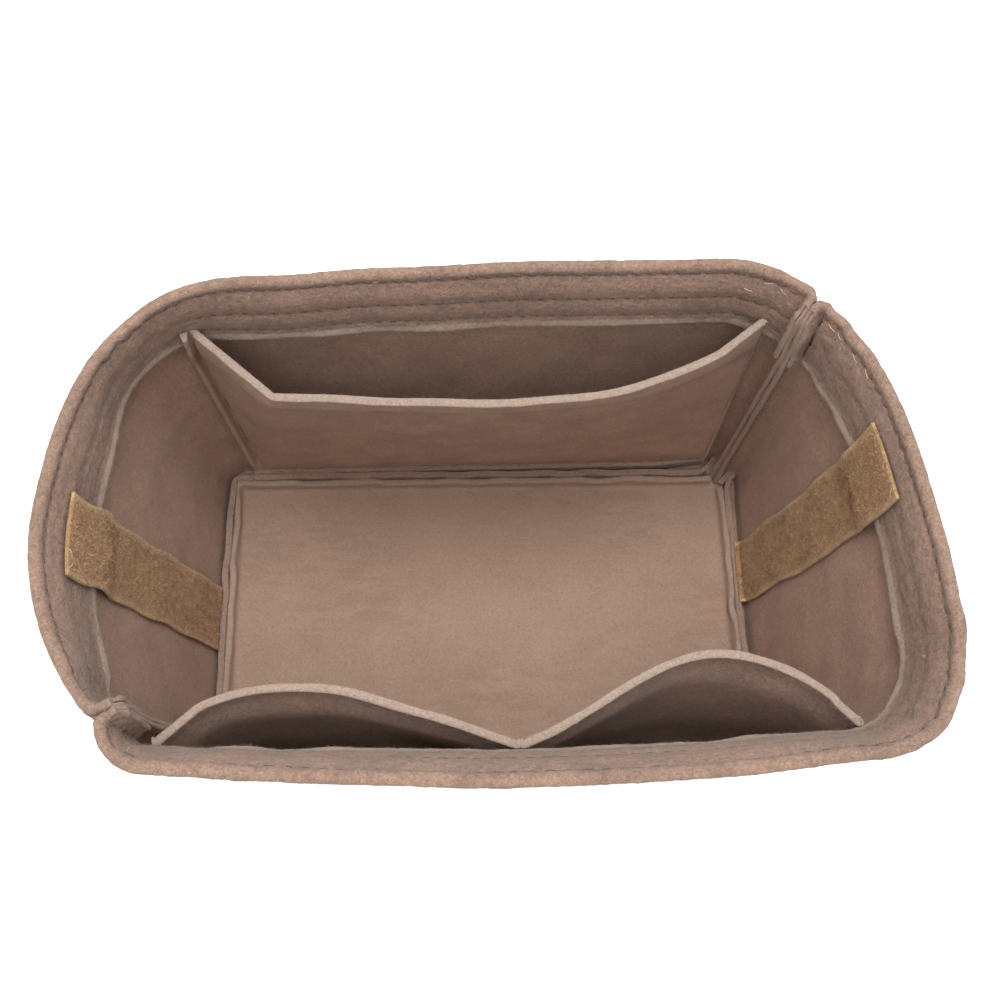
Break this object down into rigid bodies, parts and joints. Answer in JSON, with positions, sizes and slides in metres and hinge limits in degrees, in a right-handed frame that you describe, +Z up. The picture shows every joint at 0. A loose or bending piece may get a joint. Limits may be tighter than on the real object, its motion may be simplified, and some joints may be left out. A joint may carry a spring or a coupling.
{
  "type": "purse organizer insert",
  "caption": "Purse organizer insert: an open tub of thick taupe felt with a turned-in hem, inner pockets front and back, and loop tape on the end walls.",
  "frame": {"origin": "middle of the base, centred under the box round the whole tub", "axes": "+X along the length towards the right end wall, +Y towards the back wall with the long pocket, +Z up"},
  "size_m": [0.2568, 0.16, 0.15],
  "materials": {
    "felt": "matt, fuzzy",
    "smooth_felt": "matt, smooth",
    "loop_tape": "matt, looped pile"
  },
  "bodies": {
    "root": {"back_left_wall": "felt", "front_right_wall": "felt", "floor_panel": "smooth_felt", "back_pocket": "smooth_felt", "front_left_pocket": "smooth_felt", "front_right_pocket": "smooth_felt", "left_loop_tape": "loop_tape", "right_loop_tape": "loop_tape"}
  },
  "joints": []
}
